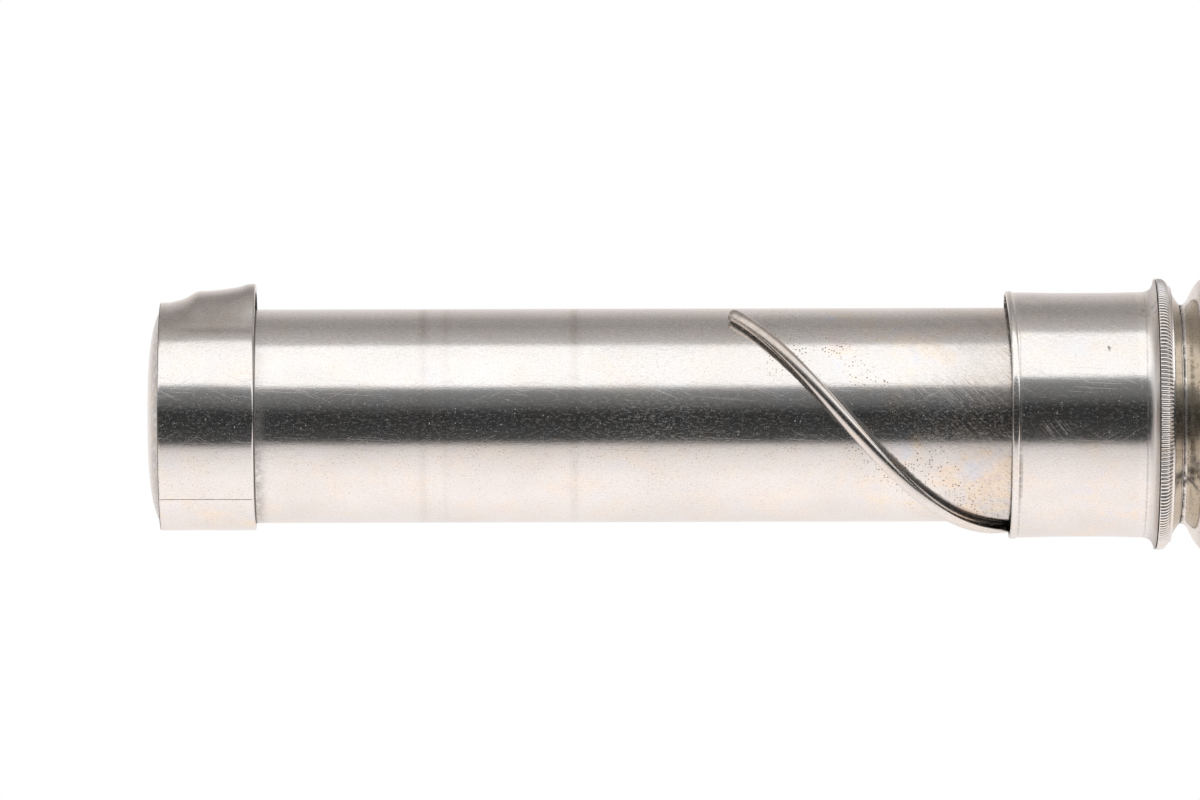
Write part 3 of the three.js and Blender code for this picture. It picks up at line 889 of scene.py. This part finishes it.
def make_sleeve():
    sleeve = Span("hood_sleeve")
    outer = sleeve.radius
    xs = stretch(sleeve.start, sleeve.end + FIT, 0.2)
    outline = [(x, outer) for x in xs] + [(x, HOOD_BORE) for x in reversed(xs)]

    def shape(x, r, angle):
        if r < HOOD_BORE + 0.1:
            return r
        waist = 0.06 * smoothstep(sleeve.start, sleeve.start + 3.5, x)
        waist *= smoothstep(sleeve.end, sleeve.end - 2.5, x)
        dent = 0.04 * bump_at(sleeve.start + 1.2, 1.0, x) * bump_at(22, 8, angle)
        return r - waist - dent + out_of_round(angle) + 0.016 * (waviness(x, angle, 6.5, 1.0) - 0.5)

    mesh = revolved("hood_tube", outline, shape=shape)
    piece = finished("hood_tube", mesh, "sliding_hood", NICKEL, ["hood_sleeve"])
    pull_lip(piece, Span("mouth_ring").start)
    spot = (sleeve.start + 7.65, 58.0)  # x and angle of a single dark spot

    def grime(x, r, angle):
        # Painted shade: the tube's bore is darkened.
        inside = smoothstep(HOOD_BORE + 0.015, HOOD_BORE, r)
        off = math.hypot(x - spot[0], math.radians(angle - spot[1]) * outer)
        return max(inside, smoothstep(0.2, 0.08, off))

    def rub(x, r, angle):
        return 2.5 * bump_at(sleeve.start + 3.0, 2.2, x) * bump_at(96, 6, angle)

    def tint(x, r, angle):
        return 0.15 + 0.6 * smoothstep(100, 135, angle) * smoothstep(230, 190, angle)

    def pitted(x, r, angle):
        return 0.5 * bump_at(sleeve.start + 3, 3, x) * bump_at(95, 16, angle)

    paint(piece, grime=grime, rub=rub, tint=tint, haze=-0.02, stain=0.08, brushed=dull_top, pitted=pitted)


def make_flange():
    flange = Span("hood_flange")
    tube = Span("hood_sleeve").radius
    start, end, top = flange.start, flange.end, flange.radius
    lip = end - 0.04
    sweep = bezier((start, tube), (start + 1.2, tube), (start + 1.5, tube + 0.12), (lip, top - 0.08), 34)
    groove = 0.75
    sweep = [(x, r - 0.015 * smoothstep(0.1, 0.0, abs(x - start - groove))) for x, r in sweep]
    low, high, deep = start + 0.85, start + 1.15, HOOD_BORE + 0.2  # the swivel ring's groove, inside
    outline = rounded(
        [(start, HOOD_BORE), *sweep, (lip + 0.02, top, 0.03), (end, top, 0.05), (end, HOOD_BORE)]
        + [(high, HOOD_BORE), (high, deep), (low, deep), (low, HOOD_BORE)]
    )

    def shape(x, r, angle):
        outside = smoothstep(HOOD_BORE + 0.21, tube - 0.04, r) * smoothstep(top - 0.1, tube + 0.2, r)
        return r + out_of_round(angle) * outside

    mesh = revolved("hood_tail", outline, shape=shape)
    piece = finished("hood_tail", mesh, "sliding_hood", NICKEL, ["hood_flange"])

    def grime(x, r, angle):
        pricks = 0.7 * bump_at(35, 8, angle) * smoothstep(0.45, 0.7, waviness(x, angle, 0.45) + 0.3)
        line = 0.3 * smoothstep(0.12, 0.0, abs(x - start - groove))
        return min(1, max(pricks, line, 0.25 * smoothstep(end - 0.05, end, x)))

    def stain(x, r, angle):
        return smoothstep(tube + 0.05, top, r) * (0.5 + 0.4 * smoothstep(110, 150, angle))

    def matte(x, r, angle):
        return 0.35 * smoothstep(start + 0.7, start + 1.3, x)

    paint(piece, grime=grime, stain=stain, tint=0.3, matte=matte)


# ---------------------------------------------------------------- the nut


def make_nut_hub():
    hub = Span("nut_hub")
    ring = Span("milled_ring")
    seat = 11.3
    spigot = HOOD_BORE - 0.07
    bevel_end = NUT_BORE + 0.22
    steps = 22
    bevel = []
    for k in range(steps + 1):
        t = k / steps
        turned = 0.012 * math.sin(t * 40)  # marks of the lathe's tool
        radius = seat - 0.02 + (bevel_end - seat + 0.02) * t**0.62 + turned
        bevel.append((ring.end + (hub.end - ring.end) * t, radius))
    outline = (
        [(hub.start, NUT_BORE), (hub.start, spigot), (ring.start, spigot), (ring.start, seat)]
        + [(ring.end - 0.01, seat)]
        + bevel[1:]
        + [(hub.end, NUT_BORE)]
    )
    piece = finished("nut_body", revolved("nut_body", outline), "lock_nut", BRASS, ["nut_hub"])
    cut(piece, helical_tube("slot", hub.start - 3, hub.end + 3, lambda x: WIRE_RADIUS + 0.2, step=0.2))

    def grime(x, r, angle):
        rim = 0.8 * smoothstep(seat - 0.22, seat - 0.05, r) * smoothstep(ring.end - 0.1, ring.end, x)
        blot = 0.8 * bump_at(124, 6, angle) * smoothstep(ring.end, ring.end + 0.2, x)
        return min(1, rim + blot + 0.6 * smoothstep(hub.end - 0.12, hub.end, x))

    paint(piece, grime=grime, stain=0.2, pitted=0.3)


def make_milled_ring():
    ring = Span("milled_ring")
    teeth, per_tooth, depth = 195, 8, 0.19
    start, end, top = ring.start, ring.end, ring.radius
    inner = 11.35
    smooth_edge = 0.03

    def crest(x):
        across = (x - start) / (end - start)
        return max(inner + 0.06, top - 1.05 * max(0.0, (across - 0.15) / 0.85) ** 3)

    xs = stretch(start + 0.05, end, 0.055)
    outline = [(start, inner), (start, top - 0.06)] + [(x, crest(x)) for x in xs] + [(end, inner)]
    angles = [360 * j / (teeth * per_tooth) for j in range(teeth * per_tooth)]

    def shape(x, r, angle):
        if r < inner + 0.05:
            return r
        tooth = angle * teeth / 360
        worn = 0.75 + 0.35 * noise.noise(Vector((math.floor(tooth + 0.5) * 0.37, 2.0, 0.0)))
        valley = abs(math.sin(math.pi * tooth)) ** 0.6
        near = smoothstep(start + smooth_edge, start + smooth_edge + 0.1, x)
        far = smoothstep(end - 0.12, end - 0.32, x)
        return r - depth * worn * (1 - valley) * near * far

    mesh = revolved("milled_grip", outline, angles, shape)
    piece = finished("milled_grip", mesh, "lock_nut", NICKEL, ["milled_ring"], smooth=50)

    def grime(x, r, angle):
        depth_here = crest(min(max(x, start), end)) - r
        low = smoothstep(100, 140, angle) * smoothstep(220, 180, angle)
        caked = smoothstep(0.25, 0.6, 0.5 + waviness(x, angle, 1.4, 4.0)) * low
        return min(1, smoothstep(0.03, 0.11, depth_here) * (0.6 + 0.6 * caked))

    paint(piece, grime=grime, tint=0.3)


make_barrel()
make_cap()
make_cap_disc()
make_wire()
make_check()
make_core()
make_cork()
for pin in ("cap_pin_1", "cap_pin_2", "barrel_pin_1", "barrel_pin_2"):
    make_pin(pin)
make_mouth_ring()
make_sleeve()
make_flange()
make_nut_hub()
make_milled_ring()
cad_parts["swivel_ring"].data.materials.clear()
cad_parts["swivel_ring"].data.materials.append(STEEL[1])


# ---------------------------------------------------------------- the studio

# What a shiny tube sees, by the angle round its axis: 0 is level towards the camera, 90 straight up.
SURROUND = [
    (-180, 0.86, "warm"),
    (-140, 1.02, "warm"),
    (-97, 1.16, "warm"),
    (-70, 1.14, "warm"),
    (-50, 1.0, "warm"),
    (-38, 0.84, "warm"),
    (-33, 0.66, "warm"),
    (-29, 0.22, "warm"),
    (-26, 0.075, "cool"),
    (-12, 0.045, "cool"),
    (0, 0.036, "cool"),
    (4, 0.045, "cool"),
    (8, 0.09, "cool"),
    (14, 0.16, "cool"),
    (24, 0.24, "cool"),
    (30, 0.4, "cool"),
    (33, 1.3, "plain"),
    (80, 1.3, "plain"),
    (84, 0.66, "plain"),
    (94, 0.52, "warm"),
    (112, 0.37, "warm"),
    (126, 0.4, "warm"),
    (142, 0.62, "warm"),
    (160, 0.8, "warm"),
    (180, 0.86, "warm"),
]
TONES = {"warm": (1.03, 0.97, 0.94), "cool": (0.96, 0.975, 0.98), "plain": (1.0, 0.99, 0.98)}
BRIGHTEST = 1.4


def make_surround():
    """A soft studio: a wide light overhead, a dark room behind the camera and a pale table."""
    world = bpy.data.worlds.new("studio")
    bpy.context.scene.world = world
    world.use_nodes = True
    nodes, links = world.node_tree.nodes, world.node_tree.links
    background = nodes["Background"]
    place = nodes.new("ShaderNodeTexCoord")
    split = nodes.new("ShaderNodeSeparateXYZ")
    links.new(place.outputs["Generated"], split.inputs[0])
    towards = nodes.new("ShaderNodeMath")
    towards.operation = "MULTIPLY"
    towards.inputs[1].default_value = -1
    links.new(split.outputs[1], towards.inputs[0])
    angle = nodes.new("ShaderNodeMath")
    angle.operation = "ARCTAN2"
    links.new(split.outputs[2], angle.inputs[0])
    links.new(towards.outputs[0], angle.inputs[1])
    along = nodes.new("ShaderNodeMapRange")
    along.inputs["From Min"].default_value = -math.pi
    along.inputs["From Max"].default_value = math.pi
    links.new(angle.outputs[0], along.inputs["Value"])
    ramp = nodes.new("ShaderNodeValToRGB")
    links.new(along.outputs[0], ramp.inputs[0])
    while len(ramp.color_ramp.elements) < len(SURROUND):
        ramp.color_ramp.elements.new(0.5)
    for element, (degrees, light, tone) in zip(ramp.color_ramp.elements, SURROUND):
        element.position = (degrees + 180) / 360
        element.color = (*(light / BRIGHTEST * c for c in TONES[tone]), 1)
    links.new(ramp.outputs[0], background.inputs["Color"])
    background.inputs["Strength"].default_value = BRIGHTEST

    # The camera itself sees plain white paper behind the object.
    paper = nodes.new("ShaderNodeBackground")
    paper.inputs["Color"].default_value = (1, 1, 1, 1)
    seen = nodes.new("ShaderNodeLightPath")
    choice = nodes.new("ShaderNodeMixShader")
    links.new(seen.outputs["Is Camera Ray"], choice.inputs[0])
    links.new(background.outputs[0], choice.inputs[1])
    links.new(paper.outputs[0], choice.inputs[2])
    links.new(choice.outputs[0], nodes["World Output"].inputs["Surface"])


def make_floor(centre):
    """A pale sheet some way under the object, which is held by its rod."""
    half, drop = 0.55, 0.06
    signs = ((-1, -1), (1, -1), (1, 1), (-1, 1))
    corners = [(centre.x + sx * half, centre.y + sy * half, centre.z - drop) for sx, sy in signs]
    mesh = bpy.data.meshes.new("floor")
    mesh.from_pydata(corners, [], [(0, 1, 2, 3)])
    floor = bpy.data.objects.new("floor", mesh)
    bpy.context.scene.collection.objects.link(floor)
    paper = bpy.data.materials.new("paper")
    paper.use_nodes = True
    shader = paper.node_tree.nodes["Principled BSDF"]
    shader.inputs["Base Color"].default_value = (0.95, 0.95, 0.95, 1)
    shader.inputs["Roughness"].default_value = 0.9
    mesh.materials.append(paper)
    floor.visible_glossy = False


def make_camera():
    """Looks square at the barrel's side from a metre away. The barrel slopes up a little to the right."""
    distance, height = 1.07, 1.38 * MM
    roll = 0.136  # degrees
    data = bpy.data.cameras.new("camera")
    data.lens, data.sensor_width = 360, 36
    data.clip_start, data.clip_end = 0.01, 20
    camera = bpy.data.objects.new("camera", data)
    bpy.context.scene.collection.objects.link(camera)
    middle_of_view = (BUTT + 39.27) * MM
    camera.location = (middle_of_view, -distance, height)
    camera.rotation_euler = (math.radians(90), math.radians(roll), 0)
    bpy.context.scene.camera = camera


make_surround()
make_floor((cad_box[0] + cad_box[1]) / 2)
make_camera()
bpy.context.scene.view_settings.view_transform = "Standard"
